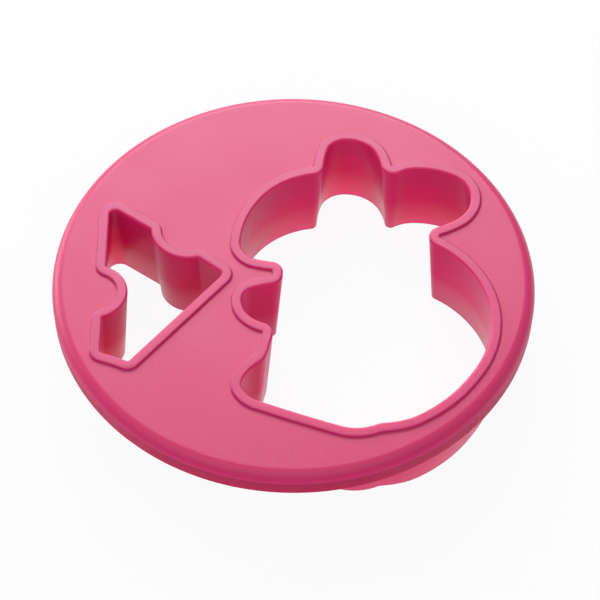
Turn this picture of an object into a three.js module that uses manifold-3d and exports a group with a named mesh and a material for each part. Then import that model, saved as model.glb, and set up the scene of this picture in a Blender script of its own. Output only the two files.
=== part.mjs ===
// Round cookie cutter: a pink plate with two cutting walls standing through it, a sitting mouse and a
// cheese wedge with two bites. Millimetres, +Z up; the cutting edges stand on z = 0 and the z axis is
// the axis of the plate.
import * as THREE from 'three';
import { mergeVertices } from 'three/addons/utils/BufferGeometryUtils.js';
import Module from 'manifold-3d';

// Plate
const PLATE_RADIUS = 50;
const PLATE_TOP = 19.8;
const PLATE_MARGIN = 3.92;
const COVER_THICKNESS = 2.2;
const COVER_EDGE_RADIUS = 2.1;
const BASE_THICKNESS = 3.3;
const BASE_EDGE_RADIUS = 0.3;
const SEAM_STEP = 0.2;

// Cutting walls, measured inwards from their outer face
const RIM_WIDTH = 2.2;
const RIM_HEIGHT = 0.6;
const RIM_EDGE_RADIUS = 0.45;
const EDGE_WIDTH = 0.4;
const OUTER_DRAFT = 0.4;
const CLEARANCE = 0.3;

// Lugs that hold a cutting wall between the cover and the base
const LUG_RADIUS = 1.2;
const LUG_HEIGHT = 1.0;
const MOUSE_LUG_SIDES = [2, 9, 14, 18];
const CHEESE_LUG_SIDES = [0, 3, 5];

// Pegs of the cover that sit in the base
const PEG_RADIUS = 1.5;
const PEG_INSET = 6.5;
const PEG_ANGLES = [11, 124, 235].map(THREE.MathUtils.degToRad);

// Outer faces of the walls, clockwise from above, each row a corner: x, y, how far the side that starts
// there bulges out, and the radius of the corner on the inside of its bend. Both figures are drawn round
// the axis of the plate, and figureScale fits them in its margin.
const ROOT = 0.2;
const MOUSE_OUTLINE = [
  [-4.4, 1.25, 0.12, ROOT],
  [-9.2, 2.25, 1.2, 2],
  [-13.3, 8.75, 0.92, 6],
  [-9, 21.15, 1.65, 8],
  [4.15, 29.15, 0.25, ROOT],
  [5.4, 35.45, 1, 2],
  [11.4, 38.9, 0.95, 3],
  [18.7, 35.25, 0.4, 3],
  [20.8, 29.15, 0.5, ROOT],
  [26.5, 30.9, 0.8, 6],
  [36.4, 27.85, 0.85, 6],
  [39.55, 20.95, 1.1, 4],
  [35.3, 13.15, 0.15, 4],
  [29.85, 10.45, 3, ROOT],
  [42.5, -9.35, 1.5, 13],
  [37.7, -25.95, 1.15, 13],
  [24.8, -37.5, 0.3, 13],
  [17.9, -39.05, 0.95, 2.7],
  [8.5, -39.6, 0.1, 4],
  [-6.8, -34.1, 1.25, 3],
  [-12.75, -27.85, 0.95, 3],
  [-7.55, -20.25, 0, 1.7],
  [-6.2, -14.65, 0.6, ROOT],
  [-11.6, -10.85, 0.3, 3],
  [-12.8, -6.55, 0.95, 3],
  [-9.4, -1.5, 0.15, 2],
  [-4.4, -0.2, 0, ROOT],
];
const CHEESE_OUTLINE = [
  [-41, 22.15, 0, 1.2],
  [-27.7, 12.85, -3.05, 0.5],
  [-19.5, 6.9, 0, 0.5],
  [-11.35, 0.65, 0, 1],
  [-32.7, -25.05, -0.35, 0.6],
  [-41.25, -21.85, 0, 0.8],
  [-41.25, -9.35, -4.8, 0.5],
  [-41, -0.05, 0, 0.5],
];

// Fineness of the round stretches
const ARC_STEP = THREE.MathUtils.degToRad(15);
const CHORD_LENGTH = 3;
const STRAIGHT_TURN = THREE.MathUtils.degToRad(2);
const PLATE_SEGMENTS = 96;
const ROUND_SEGMENTS = 20;
const EDGE_SEGMENTS = 3;
const CUT_MARGIN = 1;

// Heights worked out from the sizes above
const SEAM = PLATE_TOP - COVER_THICKNESS;
const PLATE_BOTTOM = SEAM - BASE_THICKNESS;
const RIM_TOP = PLATE_TOP + RIM_HEIGHT;

const wasm = await Module();
wasm.setup();

// A side between two corners: a straight line, or an arc that bulges by rise to the left.
function side(from, to, rise) {
  const along = to.clone().sub(from);
  const half = along.length() / 2;
  along.normalize();
  if (rise === 0) {
    return { from, to, along };
  }
  const left = new THREE.Vector2(-along.y, along.x);
  const radius = (half * half + rise * rise) / (2 * Math.abs(rise));
  const turn = -Math.sign(rise);
  const centre = from.clone().add(to).multiplyScalar(0.5);
  centre.addScaledVector(left, rise + turn * radius);
  return { from, to, centre, radius, turn };
}

// Direction of travel along a side at one of its points.
function direction(line, point) {
  if (!line.centre) {
    return line.along.clone();
  }
  const spoke = point.clone().sub(line.centre).normalize();
  return new THREE.Vector2(-spoke.y, spoke.x).multiplyScalar(line.turn);
}

// The same side moved to the left by a distance.
function shifted(line, distance) {
  if (!line.centre) {
    const left = new THREE.Vector2(-line.along.y, line.along.x);
    return { ...line, from: line.from.clone().addScaledVector(left, distance) };
  }
  return { ...line, radius: line.radius - line.turn * distance };
}

// Where two sides cross, taking the crossing nearest to a point.
function crossing(first, second, near) {
  if (!first.centre && !second.centre) {
    const gap = second.from.clone().sub(first.from);
    const reach = gap.cross(second.along) / first.along.cross(second.along);
    return first.from.clone().addScaledVector(first.along, reach);
  }
  if (!first.centre || !second.centre) {
    const [line, arc] = first.centre ? [second, first] : [first, second];
    const reach = arc.centre.clone().sub(line.from).dot(line.along);
    const foot = line.from.clone().addScaledVector(line.along, reach);
    const half = Math.sqrt(arc.radius ** 2 - foot.distanceToSquared(arc.centre));
    return nearest(foot, line.along, half, near);
  }
  const apart = second.centre.clone().sub(first.centre);
  const reach = (apart.lengthSq() + first.radius ** 2 - second.radius ** 2) / (2 * apart.length());
  const half = Math.sqrt(first.radius ** 2 - reach ** 2);
  apart.normalize();
  const foot = first.centre.clone().addScaledVector(apart, reach);
  return nearest(foot, new THREE.Vector2(-apart.y, apart.x), half, near);
}

function nearest(foot, along, half, near) {
  const ahead = foot.clone().addScaledVector(along, half);
  const behind = foot.clone().addScaledVector(along, -half);
  return ahead.distanceTo(near) < behind.distanceTo(near) ? ahead : behind;
}

// The point of a side that lies nearest to a fillet's centre.
function touch(line, centre) {
  if (!line.centre) {
    const reach = centre.clone().sub(line.from).dot(line.along);
    return line.from.clone().addScaledVector(line.along, reach);
  }
  const spoke = centre.clone().sub(line.centre).setLength(line.radius);
  return spoke.add(line.centre);
}

// The angle that an arc turns through from one point to another, with its sign.
function sweepAngle(arc) {
  const start = arc.from.clone().sub(arc.centre).angle();
  const end = arc.to.clone().sub(arc.centre).angle();
  const turned = (end - start) * arc.turn;
  return arc.turn * THREE.MathUtils.euclideanModulo(turned, 2 * Math.PI);
}

// The point a given share of the way along a side, with its normal to the left.
function pointAlong(line, share) {
  const point = line.from.clone().lerp(line.to, share);
  if (line.centre) {
    point.copy(line.from).rotateAround(line.centre, sweepAngle(line) * share);
  }
  const ahead = direction(line, point);
  return { point, normal: new THREE.Vector2(-ahead.y, ahead.x) };
}

// The closed outline as points with outward normals, and the middle of each side.
function outline(corners, scale) {
  const places = corners.map(([x, y]) => new THREE.Vector2(x, y).multiplyScalar(scale));
  const count = corners.length;
  const sides = corners.map(([, , rise], i) => side(places[i], places[(i + 1) % count], rise * scale));
  const fillets = corners.map(([, , , radius], i) => {
    const before = sides[(i + count - 1) % count];
    const after = sides[i];
    const bend = direction(before, places[i]).cross(direction(after, places[i]));
    if (Math.abs(bend) < Math.sin(STRAIGHT_TURN)) {
      return null;
    }
    const turn = Math.sign(bend);
    const filletRadius = radius * scale + (turn > 0 ? CLEARANCE : RIM_WIDTH);
    const distance = turn * filletRadius;
    const centre = crossing(shifted(before, distance), shifted(after, distance), places[i]);
    return { from: touch(before, centre), to: touch(after, centre), centre, radius: filletRadius, turn };
  });
  const chain = [];
  const middles = [];
  sides.forEach((line, i) => {
    const from = fillets[i] ? fillets[i].to : line.from;
    const next = fillets[(i + 1) % count];
    const to = next ? next.from : line.to;
    const trimmed = { ...line, from, to };
    if (fillets[i]) {
      chain.push(fillets[i]);
    }
    chain.push(trimmed);
    middles.push(pointAlong(trimmed, 0.5).point);
  });
  const samples = chain.flatMap((line) => {
    const swept = line.centre ? Math.abs(sweepAngle(line)) : 0;
    const chords = line.centre ? (swept * line.radius) / CHORD_LENGTH : 1;
    const steps = Math.ceil(Math.max(swept / ARC_STEP, chords));
    return Array.from({ length: steps }, (_, step) => pointAlong(line, step / steps));
  });
  return { samples, middles };
}

// A closed ring that carries a section (distance out from the outline, height) round an outline.
function ringGeometry(shape, section) {
  const positions = shape.samples.flatMap(({ point, normal }) =>
    section.flatMap(([out, height]) => [point.x + normal.x * out, point.y + normal.y * out, height]));
  const rows = shape.samples.length;
  const columns = section.length;
  const index = [];
  for (let i = 0; i < rows; i += 1) {
    for (let j = 0; j < columns; j += 1) {
      const here = i * columns + j;
      const up = i * columns + ((j + 1) % columns);
      const ahead = ((i + 1) % rows) * columns + j;
      const both = ((i + 1) % rows) * columns + ((j + 1) % columns);
      index.push(here, up, both, here, both, ahead);
    }
  }
  const geometry = new THREE.BufferGeometry();
  geometry.setAttribute('position', new THREE.Float32BufferAttribute(positions, 3));
  geometry.setIndex(index);
  return geometry;
}

// A prism of the outline moved out by the clearance, between two heights.
function prismGeometry(shape, bottom, top) {
  const points = shape.samples.map(({ point, normal }) => point.clone().addScaledVector(normal, CLEARANCE));
  const geometry = new THREE.ExtrudeGeometry(new THREE.Shape(points), {
    depth: top - bottom,
    bevelEnabled: false,
  });
  return geometry.translate(0, 0, bottom);
}

// A disc turned about the z axis from a profile of (radius, height) points.
function discGeometry(profile) {
  const points = profile.map(([radius, height]) => new THREE.Vector2(radius, height));
  return new THREE.LatheGeometry(points, PLATE_SEGMENTS).rotateX(Math.PI / 2);
}

function postGeometry(x, y, radius, bottom, top) {
  const geometry = new THREE.CylinderGeometry(radius, radius, top - bottom, ROUND_SEGMENTS);
  return geometry.rotateX(Math.PI / 2).translate(x, y, (bottom + top) / 2);
}

// A quarter circle from one angle to another, as (radius, height) points.
function quarter(centreRadius, centreHeight, radius, startAngle) {
  return Array.from({ length: EDGE_SEGMENTS + 1 }, (_, step) => {
    const angle = startAngle + (Math.PI / 2) * (step / EDGE_SEGMENTS);
    return [centreRadius + radius * Math.cos(angle), centreHeight + radius * Math.sin(angle)];
  });
}

// A geometry as a solid that can be joined and cut.
function solid(geometry) {
  const bare = geometry.clone();
  bare.deleteAttribute('normal');
  bare.deleteAttribute('uv');
  const merged = mergeVertices(bare);
  const corners = merged.getIndex().array;
  const triangles = [];
  for (let i = 0; i < corners.length; i += 3) {
    const [a, b, c] = corners.slice(i, i + 3);
    if (a !== b && b !== c && c !== a) {
      triangles.push(a, b, c);
    }
  }
  return new wasm.Manifold(new wasm.Mesh({
    numProp: 3,
    vertProperties: new Float32Array(merged.getAttribute('position').array),
    triVerts: new Uint32Array(triangles),
  }));
}

function pieceMesh(name, body, material) {
  const { vertProperties, triVerts } = body.getMesh();
  const geometry = new THREE.BufferGeometry();
  geometry.setAttribute('position', new THREE.BufferAttribute(vertProperties, 3));
  geometry.setIndex(new THREE.BufferAttribute(triVerts, 1));
  geometry.computeVertexNormals();
  const mesh = new THREE.Mesh(geometry, material);
  mesh.name = name;
  return mesh;
}

// Section of a cutting wall: up the outside, over the rounded rim and down to the cutting edge.
function wallSection() {
  const height = RIM_TOP - RIM_EDGE_RADIUS;
  const outerRound = quarter(-RIM_EDGE_RADIUS, height, RIM_EDGE_RADIUS, 0);
  const innerRound = quarter(RIM_EDGE_RADIUS - RIM_WIDTH, height, RIM_EDGE_RADIUS, Math.PI / 2);
  return [[-OUTER_DRAFT, 0], [0, PLATE_BOTTOM], ...outerRound, ...innerRound, [-OUTER_DRAFT - EDGE_WIDTH, 0]];
}

function cutter(shape, lugs) {
  const wall = solid(ringGeometry(shape, wallSection()));
  return lugs.reduce((body, lug) =>
    body.add(solid(postGeometry(lug.x, lug.y, LUG_RADIUS, SEAM - LUG_HEIGHT, SEAM))), wall);
}

function pegPlaces() {
  const reach = new THREE.Vector2(PLATE_RADIUS - PEG_INSET, 0);
  return PEG_ANGLES.map((angle) => reach.clone().rotateAround(new THREE.Vector2(), angle));
}

// The textured disc on top, with its rounded edge and the pegs underneath.
function cover(shapes) {
  const edge = quarter(PLATE_RADIUS - COVER_EDGE_RADIUS, PLATE_TOP - COVER_EDGE_RADIUS, COVER_EDGE_RADIUS, 0);
  const disc = solid(discGeometry([[0, SEAM], [PLATE_RADIUS, SEAM], ...edge, [0, PLATE_TOP]]));
  const opened = shapes.reduce((body, shape) =>
    body.subtract(solid(prismGeometry(shape, SEAM - CUT_MARGIN, PLATE_TOP + CUT_MARGIN))), disc);
  return pegPlaces().reduce((body, { x, y }) =>
    body.add(solid(postGeometry(x, y, PEG_RADIUS, PLATE_BOTTOM, SEAM + COVER_THICKNESS / 2))), opened);
}

// The smooth disc below, with pockets for the lugs and holes for the pegs.
function base(shapes, lugs) {
  const rim = PLATE_RADIUS - SEAM_STEP;
  const height = PLATE_BOTTOM + BASE_EDGE_RADIUS;
  const edge = quarter(rim - BASE_EDGE_RADIUS, height, BASE_EDGE_RADIUS, -Math.PI / 2);
  const disc = solid(discGeometry([[0, PLATE_BOTTOM], ...edge, [rim, SEAM], [0, SEAM]]));
  const opened = shapes.reduce((body, shape) =>
    body.subtract(solid(prismGeometry(shape, PLATE_BOTTOM - CUT_MARGIN, SEAM + CUT_MARGIN))), disc);
  const pocketed = lugs.reduce((body, lug) => body.subtract(solid(
    postGeometry(lug.x, lug.y, LUG_RADIUS + CLEARANCE, SEAM - LUG_HEIGHT, SEAM + CUT_MARGIN))), opened);
  return pegPlaces().reduce((body, { x, y }) => body.subtract(solid(
    postGeometry(x, y, PEG_RADIUS + CLEARANCE, PLATE_BOTTOM - CUT_MARGIN, SEAM + CUT_MARGIN))), pocketed);
}

const texturedPink = new THREE.MeshStandardMaterial({ color: '#df6d8d', roughness: 0.75, metalness: 0 });
const smoothPink = new THREE.MeshStandardMaterial({ color: '#d95a80', roughness: 0.4, metalness: 0 });

const drawnPoints = [MOUSE_OUTLINE, CHEESE_OUTLINE].flatMap((corners) => outline(corners, 1).samples);
const drawnReach = Math.max(...drawnPoints.map(({ point }) => point.length()));
const figureScale = (PLATE_RADIUS - PLATE_MARGIN) / drawnReach;
const mouse = outline(MOUSE_OUTLINE, figureScale);
const cheese = outline(CHEESE_OUTLINE, figureScale);
const mouseLugs = MOUSE_LUG_SIDES.map((i) => mouse.middles[i]);
const cheeseLugs = CHEESE_LUG_SIDES.map((i) => cheese.middles[i]);

const cookieCutter = new THREE.Group();
cookieCutter.add(
  pieceMesh('grip_cover', cover([mouse, cheese]), texturedPink),
  pieceMesh('base_plate', base([mouse, cheese], [...mouseLugs, ...cheeseLugs]), smoothPink),
  pieceMesh('mouse_cutter', cutter(mouse, mouseLugs), smoothPink),
  pieceMesh('cheese_cutter', cutter(cheese, cheeseLugs), smoothPink),
);

export default cookieCutter;
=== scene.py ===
"""Looks of the round cookie cutter: fine meshes of its four pieces, plastics, camera and light."""
import cmath
import math
from dataclasses import dataclass, replace

import bmesh
import bpy
from mathutils import Euler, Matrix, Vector


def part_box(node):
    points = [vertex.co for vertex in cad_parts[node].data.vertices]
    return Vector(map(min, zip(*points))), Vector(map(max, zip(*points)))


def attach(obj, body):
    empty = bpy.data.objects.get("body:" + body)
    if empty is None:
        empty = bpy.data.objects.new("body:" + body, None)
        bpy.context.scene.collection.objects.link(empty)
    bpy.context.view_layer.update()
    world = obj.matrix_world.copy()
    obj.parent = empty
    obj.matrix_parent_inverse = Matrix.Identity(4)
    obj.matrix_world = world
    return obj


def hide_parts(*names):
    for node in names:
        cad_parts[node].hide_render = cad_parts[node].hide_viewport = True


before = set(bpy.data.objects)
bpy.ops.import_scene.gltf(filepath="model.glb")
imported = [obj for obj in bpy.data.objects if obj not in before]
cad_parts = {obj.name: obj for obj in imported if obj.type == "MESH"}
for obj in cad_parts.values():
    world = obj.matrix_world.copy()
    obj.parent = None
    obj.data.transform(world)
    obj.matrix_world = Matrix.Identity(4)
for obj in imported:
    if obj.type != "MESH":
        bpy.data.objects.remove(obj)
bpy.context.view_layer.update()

# Sizes below are in millimetres, as in the CAD model; MM turns them into metres.
MM = 0.001

# Cutting walls, measured inwards from their outer face
RIM_WIDTH = 2.2
RIM_EDGE_RADIUS = 0.32
RIM_INNER_RADIUS = 0.46
EDGE_WIDTH = 0.4
EDGE_RADIUS = 0.1
OUTER_DRAFT = 0.4

# Gap round the walls in the CAD model, across which the re-entrant corners keep their radius
CLEARANCE = 0.3

# Plate edges, the fillet at the foot of each rim, and the gap that is left between pieces
COVER_EDGE_RISE = 2.1
COVER_EDGE_REACH = 2.5
COVER_FILLET_RADIUS = 0.26
HAIRLINE = 0.01
BASE_EDGE_RADIUS = 0.3
SEAM_STEP = 0.08
SEAM_RADIUS = 0.05

# Pegs of the cover that sit in the base
PEG_RADIUS = 1.5
PEG_INSET = 6.5
PEG_ANGLES = (11, 124, 235)

# Outer faces of the walls, clockwise from above, each row a corner: x, y, how far the side that starts
# there bulges out, and the radius of the corner on the inside of its bend.
ROOT = 0.2
MOUSE_OUTLINE = (
    (-4.4, 1.25, 0.12, ROOT),
    (-9.2, 2.25, 1.2, 2),
    (-13.3, 8.75, 0.92, 6),
    (-9, 21.15, 1.65, 8),
    (4.15, 29.15, 0.25, ROOT),
    (5.4, 35.45, 1, 2),
    (11.4, 38.9, 0.95, 3),
    (18.7, 35.25, 0.4, 3),
    (20.8, 29.15, 0.5, ROOT),
    (26.5, 30.9, 0.8, 6),
    (36.4, 27.85, 0.85, 6),
    (39.55, 20.95, 1.1, 4),
    (35.3, 13.15, 0.15, 4),
    (29.85, 10.45, 3, ROOT),
    (42.5, -9.35, 1.5, 13),
    (37.7, -25.95, 1.15, 13),
    (24.8, -37.5, 0.3, 13),
    (17.9, -39.05, 0.95, 2.7),
    (8.5, -39.6, 0.1, 4),
    (-6.8, -34.1, 1.25, 3),
    (-12.75, -27.85, 0.95, 3),
    (-7.55, -20.25, 0, 1.7),
    (-6.2, -14.65, 0.6, ROOT),
    (-11.6, -10.85, 0.3, 3),
    (-12.8, -6.55, 0.95, 3),
    (-9.4, -1.5, 0.15, 2),
    (-4.4, -0.2, 0, ROOT),
)
CHEESE_OUTLINE = (
    (-41, 22.15, 0, 1.2),
    (-27.7, 12.85, -3.05, 0.5),
    (-19.5, 6.9, 0, 0.5),
    (-11.35, 0.65, 0, 1),
    (-32.7, -25.05, -0.35, 0.6),
    (-41.25, -21.85, 0, 0.8),
    (-41.25, -9.35, -4.8, 0.5),
    (-41, -0.05, 0, 0.5),
)

# Fineness of the round stretches
ARC_STEP = math.radians(4)
CHORD_LENGTH = 0.8
STRAIGHT_TURN = math.radians(2)
PLATE_SEGMENTS = 360
PEG_SEGMENTS = 48
EDGE_SEGMENTS = 12
SHARP_ANGLE = math.radians(40)
MERGE_DISTANCE = 0.0008

# Heights and the plate's radius, from the frame
PLATE_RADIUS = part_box("grip_cover")[1].x / MM
PLATE_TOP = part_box("grip_cover")[1].z / MM
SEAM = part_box("base_plate")[1].z / MM
PLATE_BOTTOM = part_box("base_plate")[0].z / MM
RIM_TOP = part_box("mouse_cutter")[1].z / MM

# Camera: at the front, looking at the middle of the plate's top face
CAMERA_DISTANCE = 550.0
CAMERA_ELEVATION = math.radians(52.36)
CAMERA_ROLL = math.radians(0.37)
CAMERA_LENS = 159.5
CAMERA_SENSOR = 36.0
FRAME_PIXELS = 600
PLATE_CENTRE_PIXEL = (293.56, 275.94)

# All plastics: refraction, spread of each colour of light below the surface, middle range of a noise
PLASTIC_IOR = 1.6
SCATTER_RADIUS = (1.0, 0.4, 0.6)
NOISE_LOW = 0.3
NOISE_HIGH = 0.7

# Grained plastic of the cover: noises as (scale per metre, detail), bumps as (strength, height),
# gloss as pairs of (height, specular level) or (how far the surface faces back, specular level)
COVER_COLOURS = ((0.78, 0.03, 0.17), (0.83, 0.04, 0.198))
COVER_ROUGHNESS = (0.30, 0.38)
COVER_SCATTER = 0.15
COVER_SCATTER_DEPTH = 1.0
COVER_CLOUD = (60, 3)
FINE_GRAIN = (4800, 1)
COARSE_GRAIN = (1300, 2)
FINE_BUMP = (0.5, 0.04)
COARSE_BUMP = (0.24, 0.05)
# Painted shade: the cover reflects less low down its edge and where its surface faces the front
COVER_GLOSS_PAINTED_LOW_SHADE = ((SEAM + 0.4, 0.1), (PLATE_TOP - 0.8, 0.5))
COVER_GLOSS_PAINTED_FRONT_SHADE = ((-0.9, 0.12), (-0.3, 0.5))

# Smooth plastic of the base and the walls
SMOOTH_SCATTER = 0.8
SMOOTH_SCATTER_DEPTH = 3
FLOW_CLOUD = (45, 2)
HAZE = (350, 3)
RIPPLE_BUMP = (0.12, 0.03)
# The base's deeper colour is painted shade on the edge band below the seam
BASE_COLOURS_PAINTED_SHADE = ((0.61, 0.013, 0.108), (0.64, 0.018, 0.12))
BASE_ROUGHNESS = (0.40, 0.48)
BASE_GLOSS = 0.12
CUTTER_COLOURS = ((0.80, 0.026, 0.2), (0.825, 0.032, 0.215))
CUTTER_ROUGHNESS = (0.28, 0.34)
# Painted light on the walls by height: glossy at the rim, painted shade up the walls, a painted sheen low
# towards the cutting edge
RIM_GLOSS_AND_PAINTED_WALL_SHADE = ((RIM_TOP - 0.35, 0.06), (RIM_TOP - 0.05, 0.52))
EDGE_GLOSS_PAINTED_LOW_SHEEN = ((9, 0.06), (2, 0.42))

# Floor and surroundings, in metres
WHITE = (1, 1, 1, 1)
FLOOR_HALF = 4.0
FLOOR_COLOUR = (0.9, 0.9, 0.9, 1)
FLOOR_ROUGHNESS = 0.9
FLOOR_GLOW = 0.12
FLOOR_WHITE_SHARE = 0.92
WORLD_STRENGTH = 0.30

# Lamps that look at the origin: name, place, size in metres and power in watts
ROUND_LAMPS = (
    ("key", (-0.05, 0.64, 0.503), 0.592, 3.1),
    ("fill", (-0.1, -0.6, 0.85), 1.6, 3.3),
    ("side", (-0.75, 0.6, 0.26), 0.6, 2.4),
)
BACKDROP_LAMP = ("backdrop", (-0.9, 1.8, 0.9), 4.0, 13.0)
BACKDROP_HEIGHT = 1.8


@dataclass
class Side:
    """A stretch of an outline, as complex numbers: a straight line, or an arc when it has a centre."""
    start: complex
    end: complex
    along: complex = 0
    centre: complex = None
    radius: float = 0.0
    turn: float = 0.0


def side(start, end, rise):
    """The side between two corners that bulges by rise to the left."""
    chord = end - start
    along = chord / abs(chord)
    if rise == 0:
        return Side(start, end, along)
    radius = (abs(chord) ** 2 / 4 + rise ** 2) / (2 * abs(rise))
    turn = -math.copysign(1, rise)
    centre = (start + end) / 2 + 1j * along * (rise + turn * radius)
    return Side(start, end, along, centre, radius, turn)


def direction(line, point):
    """Direction of travel along a side at one of its points."""
    if line.centre is None:
        return line.along
    spoke = point - line.centre
    return 1j * line.turn * spoke / abs(spoke)


def shifted(line, distance):
    """The same side moved to the left."""
    if line.centre is None:
        return replace(line, start=line.start + 1j * line.along * distance)
    return replace(line, radius=line.radius - line.turn * distance)


def cross(first, second):
    return (first.conjugate() * second).imag


def dot(first, second):
    return (first.conjugate() * second).real


def crossing(first, second, near):
    """Where two sides cross, taking the crossing nearest to a point."""
    if first.centre is None and second.centre is None:
        reach = cross(second.start - first.start, second.along) / cross(first.along, second.along)
        return first.start + first.along * reach
    if first.centre is None or second.centre is None:
        line, arc = (first, second) if first.centre is None else (second, first)
        foot = line.start + line.along * dot(line.along, arc.centre - line.start)
        reach = line.along * math.sqrt(arc.radius ** 2 - abs(foot - arc.centre) ** 2)
    else:
        apart = second.centre - first.centre
        share = (abs(apart) ** 2 + first.radius ** 2 - second.radius ** 2) / (2 * abs(apart))
        apart /= abs(apart)
        foot = first.centre + apart * share
        reach = 1j * apart * math.sqrt(first.radius ** 2 - share ** 2)
    return min(foot + reach, foot - reach, key=lambda point: abs(point - near))


def touch(line, centre):
    """The point of a side that lies nearest to a fillet's centre."""
    if line.centre is None:
        return line.start + line.along * dot(line.along, centre - line.start)
    spoke = centre - line.centre
    return line.centre + spoke / abs(spoke) * line.radius


def sweep_angle(arc):
    """The angle that an arc turns through, with its sign."""
    turned = cmath.phase((arc.end - arc.centre) / (arc.start - arc.centre)) * arc.turn
    return arc.turn * (turned % (2 * math.pi))


def samples_along(line):
    """Points along a side, without its end, each with its normal to the left."""
    swept = 0.0 if line.centre is None else abs(sweep_angle(line))
    length = abs(line.end - line.start) if line.centre is None else swept * line.radius
    steps = max(1, math.ceil(swept / ARC_STEP), math.ceil(length / CHORD_LENGTH))
    for step in range(steps):
        share = step / steps
        point = line.start + (line.end - line.start) * share
        if line.centre is not None:
            spoke = line.start - line.centre
            point = line.centre + spoke * cmath.exp(1j * sweep_angle(line) * share)
        yield point, 1j * direction(line, point)


def outline(corners):
    """A closed outline as points with outward normals, its corners rounded."""
    places = [complex(x, y) for x, y, _, _ in corners]
    count = len(corners)
    sides = [side(places[i], places[(i + 1) % count], corners[i][2]) for i in range(count)]
    fillets = []
    for i, (_, _, _, radius) in enumerate(corners):
        before, after = sides[i - 1], sides[i]
        bend = cross(direction(before, places[i]), direction(after, places[i]))
        if abs(bend) < math.sin(STRAIGHT_TURN):
            fillets.append(None)
            continue
        turn = math.copysign(1, bend)
        radius += CLEARANCE if turn > 0 else RIM_WIDTH
        centre = crossing(shifted(before, turn * radius), shifted(after, turn * radius), places[i])
        start, end = touch(before, centre), touch(after, centre)
        fillets.append(Side(start, end, 0, centre, radius, turn))
    points = []
    for i, line in enumerate(sides):
        following = fillets[(i + 1) % count]
        start = fillets[i].end if fillets[i] else line.start
        end = following.start if following else line.end
        if fillets[i]:
            points.extend(samples_along(fillets[i]))
        points.extend(samples_along(replace(line, start=start, end=end)))
    return points


def circle(centre, segments):
    """A point repeated with the normals of a circle round it, clockwise.

    Moving the copies out along their normals draws the circle.
    """
    return [(centre, cmath.exp(-2j * math.pi * i / segments)) for i in range(segments)]


def arc_section(out, height, radius, start, end):
    """Points (out, height) of an arc between two angles in degrees."""
    angles = [math.radians(start + (end - start) * i / EDGE_SEGMENTS) for i in range(EDGE_SEGMENTS + 1)]
    return [(out + radius * math.cos(a), height + radius * math.sin(a)) for a in angles]


def add_loop(mesh, path, out, height):
    """One closed row of vertices, the path moved outwards and set at a height."""
    points = [point + normal * out for point, normal in path]
    return [mesh.verts.new((point.real * MM, point.imag * MM, height * MM)) for point in points]


def add_band(mesh, path, section):
    """Rows of vertices for each (out, height) of a section, with quads between them."""
    rows = [add_loop(mesh, path, out, height) for out, height in section]
    for lower, upper in zip(rows, rows[1:]):
        join_rows(mesh, lower, upper)
    return rows


def join_rows(mesh, lower, upper):
    count = len(lower)
    for i in range(count):
        j = (i + 1) % count
        mesh.faces.new((lower[i], upper[i], upper[j], lower[j]))


def fill_between(mesh, rows):
    """A flat face bounded by closed rows of vertices: the outer one and its holes."""
    edges = []
    for row in rows:
        edges += [mesh.edges.get((a, b)) for a, b in zip(row, row[1:] + row[:1])]
    bmesh.ops.triangle_fill(mesh, use_beauty=True, use_dissolve=False, edges=edges)


def finished_piece(name, mesh, node, material):
    """An object from a bmesh, smooth with crisp corners, that stands for a CAD node."""
    bmesh.ops.recalc_face_normals(mesh, faces=mesh.faces)
    data = bpy.data.meshes.new(name)
    mesh.to_mesh(data)
    mesh.free()
    data.shade_smooth()
    data.set_sharp_from_angle(angle=SHARP_ANGLE)
    data.materials.append(material)
    piece = bpy.data.objects.new(name, data)
    bpy.context.scene.collection.objects.link(piece)
    normals = piece.modifiers.new("even_normals", "WEIGHTED_NORMAL")
    normals.keep_sharp = True
    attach(piece, "root")
    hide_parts(node)


def wall_section():
    """A cutting wall: up the outside, over the rounded rim, down the inside and round the cutting edge."""
    inside = -OUTER_DRAFT - EDGE_WIDTH
    return [
        *arc_section(-OUTER_DRAFT - EDGE_RADIUS, EDGE_RADIUS, EDGE_RADIUS, -90, 0),
        (0, PLATE_BOTTOM),
        *arc_section(-RIM_EDGE_RADIUS, RIM_TOP - RIM_EDGE_RADIUS, RIM_EDGE_RADIUS, 0, 90),
        *arc_section(RIM_INNER_RADIUS - RIM_WIDTH, RIM_TOP - RIM_INNER_RADIUS, RIM_INNER_RADIUS, 90, 180),
        *arc_section(inside + EDGE_RADIUS, EDGE_RADIUS, EDGE_RADIUS, 180, 270),
    ]


def make_cutter(name, path, node, material):
    """A cutting wall with its rim, closed all round its section."""
    mesh = bmesh.new()
    rows = add_band(mesh, path, wall_section())
    join_rows(mesh, rows[-1], rows[0])
    finished_piece(name, mesh, node, material)


def peg_paths():
    """The middle of each peg, ready to be drawn out to a circle."""
    reach = PLATE_RADIUS - PEG_INSET
    places = [cmath.rect(reach, math.radians(angle)) for angle in PEG_ANGLES]
    return [circle(place, PEG_SEGMENTS) for place in places]


def cover_edge_section():
    """The cover's outer edge: a small arc at the seam, then an elliptic round to the top face."""
    return [
        *arc_section(PLATE_RADIUS - SEAM_RADIUS, SEAM + SEAM_RADIUS, SEAM_RADIUS, -90, 0),
        *[(PLATE_RADIUS + COVER_EDGE_REACH * (out - 1), PLATE_TOP + COVER_EDGE_RISE * (height - 1))
          for out, height in arc_section(0, 0, 1, 0, 90)],
    ]


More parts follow.
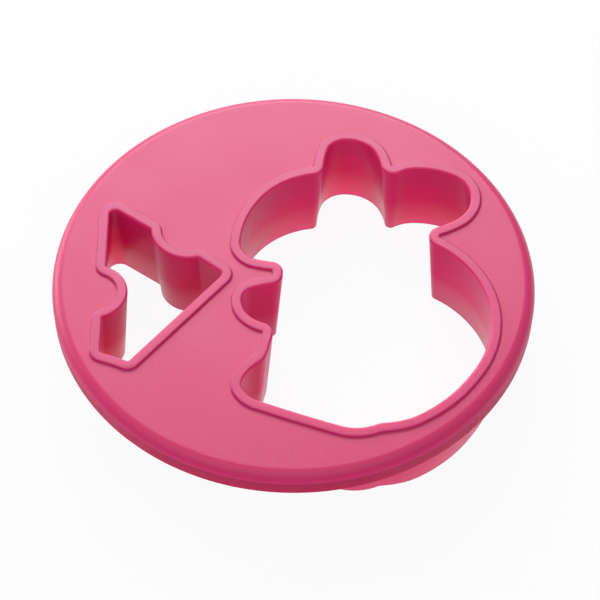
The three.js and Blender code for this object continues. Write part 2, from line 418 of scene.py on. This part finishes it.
def make_cover(paths, material):
    """The textured disc: rounded edge outside, a small fillet up to each rim, pegs underneath."""
    mesh = bmesh.new()
    edge = add_band(mesh, circle(0, PLATE_SEGMENTS), cover_edge_section())
    foot = HAIRLINE + COVER_FILLET_RADIUS
    fillet = arc_section(foot, PLATE_TOP + COVER_FILLET_RADIUS, COVER_FILLET_RADIUS, 180, 270)
    openings = [add_band(mesh, path, [(HAIRLINE, SEAM), *fillet]) for path in paths]
    peg_section = [(0, PLATE_BOTTOM), (PEG_RADIUS, PLATE_BOTTOM), (PEG_RADIUS, SEAM)]
    pegs = [add_band(mesh, path, peg_section) for path in peg_paths()]
    fill_between(mesh, [edge[-1], *[rows[-1] for rows in openings]])
    fill_between(mesh, [edge[0], *[rows[0] for rows in openings], *[rows[-1] for rows in pegs]])
    bmesh.ops.remove_doubles(mesh, verts=mesh.verts, dist=MERGE_DISTANCE * MM)
    finished_piece("grip_cover_visual", mesh, "grip_cover", material)


def make_base(paths, material):
    """The smooth disc below, with the same openings and a hole round each peg."""
    mesh = bmesh.new()
    radius = PLATE_RADIUS - SEAM_STEP
    edge_section = [
        *arc_section(radius - BASE_EDGE_RADIUS, PLATE_BOTTOM + BASE_EDGE_RADIUS, BASE_EDGE_RADIUS, -90, 0),
        *arc_section(radius - SEAM_RADIUS, SEAM - SEAM_RADIUS, SEAM_RADIUS, 0, 90),
    ]
    edge = add_band(mesh, circle(0, PLATE_SEGMENTS), edge_section)
    openings = [add_band(mesh, path, [(HAIRLINE, PLATE_BOTTOM), (HAIRLINE, SEAM)]) for path in paths]
    hole = PEG_RADIUS + HAIRLINE
    openings += [add_band(mesh, path, [(hole, PLATE_BOTTOM), (hole, SEAM)]) for path in peg_paths()]
    fill_between(mesh, [edge[0], *[rows[0] for rows in openings]])
    fill_between(mesh, [edge[-1], *[rows[-1] for rows in openings]])
    finished_piece("base_plate_visual", mesh, "base_plate", material)


def new_material(name):
    material = bpy.data.materials.new(name)
    material.use_nodes = True
    nodes = material.node_tree.nodes
    return material, nodes, material.node_tree.links, nodes["Principled BSDF"]


def add_noise(nodes, links, coordinates, texture):
    """A noise of a given (scale, detail) that is fixed to the piece."""
    scale, detail = texture
    noise = nodes.new("ShaderNodeTexNoise")
    noise.inputs["Scale"].default_value = scale
    noise.inputs["Detail"].default_value = detail
    links.new(coordinates.outputs["Object"], noise.inputs["Vector"])
    return noise


def add_range(nodes, links, source, limits):
    """A noise's middle range spread between two limits."""
    spread = nodes.new("ShaderNodeMapRange")
    spread.inputs["From Min"].default_value = NOISE_LOW
    spread.inputs["From Max"].default_value = NOISE_HIGH
    spread.inputs["To Min"].default_value = limits[0]
    spread.inputs["To Max"].default_value = limits[1]
    links.new(source.outputs["Fac"], spread.inputs["Value"])
    return spread


def add_colour_ramp(nodes, links, source, colours):
    """A noise's middle range turned into shades between two colours."""
    ramp = nodes.new("ShaderNodeValToRGB")
    for element, position, colour in zip(ramp.color_ramp.elements, (NOISE_LOW, NOISE_HIGH), colours):
        element.position = position
        element.color = (*colour, 1)
    links.new(source.outputs["Fac"], ramp.inputs["Fac"])
    return ramp


def add_bump(nodes, links, source, relief, normal=None):
    """A bump of a given (strength, height), on top of another one where there is one."""
    strength, height = relief
    bump = nodes.new("ShaderNodeBump")
    bump.inputs["Strength"].default_value = strength
    bump.inputs["Distance"].default_value = height * MM
    links.new(source.outputs["Fac"], bump.inputs["Height"])
    if normal:
        links.new(normal.outputs["Normal"], bump.inputs["Normal"])
    return bump


def set_plastic(shader, scatter, depth):
    """Refraction, and how much light goes below the surface and how deep."""
    shader.inputs["IOR"].default_value = PLASTIC_IOR
    shader.inputs["Subsurface Weight"].default_value = scatter
    shader.inputs["Subsurface Radius"].default_value = SCATTER_RADIUS
    shader.inputs["Subsurface Scale"].default_value = depth * MM


def add_gloss(nodes, links, vector, axis, levels, unit=1.0):
    """Specular level that follows one axis of a vector between two (place, level) pairs."""
    (first_place, first_level), (last_place, last_level) = levels
    split = nodes.new("ShaderNodeSeparateXYZ")
    links.new(vector, split.inputs["Vector"])
    gloss = nodes.new("ShaderNodeMapRange")
    gloss.inputs["From Min"].default_value = first_place * unit
    gloss.inputs["From Max"].default_value = last_place * unit
    gloss.inputs["To Min"].default_value = first_level
    gloss.inputs["To Max"].default_value = last_level
    links.new(split.outputs[axis], gloss.inputs["Value"])
    return gloss


def join_gloss(nodes, links, choice, first, second, shader):
    """The lower or the higher of two specular levels, given to a shader."""
    gloss = nodes.new("ShaderNodeMath")
    gloss.operation = choice
    links.new(first.outputs["Result"], gloss.inputs[0])
    links.new(second.outputs["Result"], gloss.inputs[1])
    links.new(gloss.outputs["Value"], shader.inputs["Specular IOR Level"])


def textured_pink():
    """Matte moulded plastic with a fine grain, with painted shade as duller reflection down its edge and
    at the front.
    """
    material, nodes, links, shader = new_material("textured_pink")
    set_plastic(shader, COVER_SCATTER, COVER_SCATTER_DEPTH)
    place = nodes.new("ShaderNodeTexCoord")
    cloud = add_noise(nodes, links, place, COVER_CLOUD)
    grain = add_noise(nodes, links, place, FINE_GRAIN)
    colour = add_colour_ramp(nodes, links, grain, COVER_COLOURS)
    links.new(colour.outputs["Color"], shader.inputs["Base Color"])
    coarse = add_noise(nodes, links, place, COARSE_GRAIN)
    rough = add_range(nodes, links, cloud, COVER_ROUGHNESS)
    links.new(rough.outputs["Result"], shader.inputs["Roughness"])
    fine_bump = add_bump(nodes, links, grain, FINE_BUMP)
    coarse_bump = add_bump(nodes, links, coarse, COARSE_BUMP, fine_bump)
    links.new(coarse_bump.outputs["Normal"], shader.inputs["Normal"])
    surface = nodes.new("ShaderNodeNewGeometry")
    # Painted shade: duller reflection low down the edge and on the front-facing side
    low = add_gloss(nodes, links, place.outputs["Object"], "Z", COVER_GLOSS_PAINTED_LOW_SHADE, MM)
    front = add_gloss(nodes, links, surface.outputs["Normal"], "Y", COVER_GLOSS_PAINTED_FRONT_SHADE)
    join_gloss(nodes, links, "MINIMUM", low, front, shader)
    return material


def smooth_pink(name, colours, roughness):
    """Smooth satin moulded plastic, with faint flow clouds."""
    material, nodes, links, shader = new_material(name)
    set_plastic(shader, SMOOTH_SCATTER, SMOOTH_SCATTER_DEPTH)
    place = nodes.new("ShaderNodeTexCoord")
    cloud = add_noise(nodes, links, place, FLOW_CLOUD)
    colour = add_colour_ramp(nodes, links, cloud, colours)
    links.new(colour.outputs["Color"], shader.inputs["Base Color"])
    haze = add_noise(nodes, links, place, HAZE)
    rough = add_range(nodes, links, haze, roughness)
    links.new(rough.outputs["Result"], shader.inputs["Roughness"])
    ripple = add_bump(nodes, links, haze, RIPPLE_BUMP)
    links.new(ripple.outputs["Normal"], shader.inputs["Normal"])
    return material, nodes, links, shader, place


def base_plastic():
    """The plain smooth disc, its colour darkened as painted shade on the edge band below the seam."""
    material, _, _, shader, _ = smooth_pink("base_pink", BASE_COLOURS_PAINTED_SHADE, BASE_ROUGHNESS)
    shader.inputs["Specular IOR Level"].default_value = BASE_GLOSS
    return material


def cutter_plastic():
    """The cutting walls: glossy at the rim, with painted shade as duller reflection up the walls and a
    painted sheen as more reflection towards the cutting edge.
    """
    material, nodes, links, shader, place = smooth_pink("cutter_pink", CUTTER_COLOURS, CUTTER_ROUGHNESS)
    # Painted shade up the walls below the rim, painted sheen low towards the cutting edge
    rim = add_gloss(nodes, links, place.outputs["Object"], "Z", RIM_GLOSS_AND_PAINTED_WALL_SHADE, MM)
    edge = add_gloss(nodes, links, place.outputs["Object"], "Z", EDGE_GLOSS_PAINTED_LOW_SHEEN, MM)
    join_gloss(nodes, links, "MAXIMUM", rim, edge, shader)
    return material


def backdrop_mix(nodes, links, lit, strength):
    """A lit shader that camera and gloss rays see mostly as plain white."""
    path = nodes.new("ShaderNodeLightPath")
    seen = nodes.new("ShaderNodeMath")
    seen.operation = "MAXIMUM"
    links.new(path.outputs["Is Camera Ray"], seen.inputs[0])
    links.new(path.outputs["Is Glossy Ray"], seen.inputs[1])
    share = nodes.new("ShaderNodeMath")
    share.operation = "MULTIPLY"
    share.inputs[1].default_value = strength
    links.new(seen.outputs["Value"], share.inputs[0])
    white = nodes.new("ShaderNodeEmission")
    mix = nodes.new("ShaderNodeMixShader")
    links.new(share.outputs["Value"], mix.inputs["Fac"])
    links.new(lit.outputs[0], mix.inputs[1])
    links.new(white.outputs["Emission"], mix.inputs[2])
    return mix


def make_floor():
    """A plain white floor under the cutting edges that keeps a soft shadow."""
    data = bpy.data.meshes.new("floor")
    signs = ((-1, -1), (1, -1), (1, 1), (-1, 1))
    corners = [(x * FLOOR_HALF, y * FLOOR_HALF, 0) for x, y in signs]
    data.from_pydata(corners, [], [(0, 1, 2, 3)])
    material, nodes, links, shader = new_material("floor_white")
    shader.inputs["Base Color"].default_value = FLOOR_COLOUR
    shader.inputs["Roughness"].default_value = FLOOR_ROUGHNESS
    shader.inputs["Emission Strength"].default_value = FLOOR_GLOW
    mix = backdrop_mix(nodes, links, shader, FLOOR_WHITE_SHARE)
    links.new(mix.outputs["Shader"], nodes["Material Output"].inputs["Surface"])
    data.materials.append(material)
    floor = bpy.data.objects.new("floor", data)
    bpy.context.scene.collection.objects.link(floor)


def make_world():
    """Even light from all round, seen as white."""
    world = bpy.data.worlds.new("studio")
    bpy.context.scene.world = world
    world.use_nodes = True
    nodes = world.node_tree.nodes
    links = world.node_tree.links
    lit = nodes["Background"]
    lit.inputs["Color"].default_value = WHITE
    lit.inputs["Strength"].default_value = WORLD_STRENGTH
    path = nodes.new("ShaderNodeLightPath")
    white = nodes.new("ShaderNodeBackground")
    white.inputs["Color"].default_value = WHITE
    mix = nodes.new("ShaderNodeMixShader")
    links.new(path.outputs["Is Camera Ray"], mix.inputs["Fac"])
    links.new(lit.outputs["Background"], mix.inputs[1])
    links.new(white.outputs["Background"], mix.inputs[2])
    links.new(mix.outputs["Shader"], nodes["World Output"].inputs["Surface"])


def add_area_light(name, place, size, power):
    """A round lamp that looks at the origin."""
    lamp = bpy.data.lights.new(name, "AREA")
    lamp.shape = "DISK"
    lamp.size = size
    lamp.energy = power
    light = bpy.data.objects.new(name, lamp)
    light.location = place
    light.rotation_euler = (Vector((0, 0, 0)) - light.location).to_track_quat("-Z", "Y").to_euler()
    bpy.context.scene.collection.objects.link(light)
    return lamp


def make_camera():
    """The camera of the photograph, fitted to the plate's outline."""
    data = bpy.data.cameras.new("camera")
    data.sensor_width = CAMERA_SENSOR
    data.lens = CAMERA_LENS
    data.shift_x = 0.5 - PLATE_CENTRE_PIXEL[0] / FRAME_PIXELS
    data.shift_y = PLATE_CENTRE_PIXEL[1] / FRAME_PIXELS - 0.5
    camera = bpy.data.objects.new("camera", data)
    back = Vector((0, -math.cos(CAMERA_ELEVATION), math.sin(CAMERA_ELEVATION)))
    camera.location = Vector((0, 0, PLATE_TOP * MM)) + back * CAMERA_DISTANCE * MM
    tilt = Euler((math.pi / 2 - CAMERA_ELEVATION, 0, 0)).to_matrix()
    roll = Euler((0, 0, CAMERA_ROLL)).to_matrix()
    camera.rotation_euler = (tilt @ roll).to_euler()
    bpy.context.scene.collection.objects.link(camera)
    bpy.context.scene.camera = camera


def make_lights():
    """Round studio lamps, and a wide one for the light that a backdrop gives."""
    for lamp in ROUND_LAMPS:
        add_area_light(*lamp)
    backdrop = add_area_light(*BACKDROP_LAMP)
    backdrop.shape = "RECTANGLE"
    backdrop.size_y = BACKDROP_HEIGHT


def main():
    mouse = outline(MOUSE_OUTLINE)
    cheese = outline(CHEESE_OUTLINE)
    cutter_pink = cutter_plastic()
    make_cover([mouse, cheese], textured_pink())
    make_base([mouse, cheese], base_plastic())
    make_cutter("mouse_cutter_visual", mouse, "mouse_cutter", cutter_pink)
    make_cutter("cheese_cutter_visual", cheese, "cheese_cutter", cutter_pink)
    make_floor()
    make_world()
    make_lights()
    make_camera()
    bpy.context.scene.view_settings.view_transform = "Standard"


main()
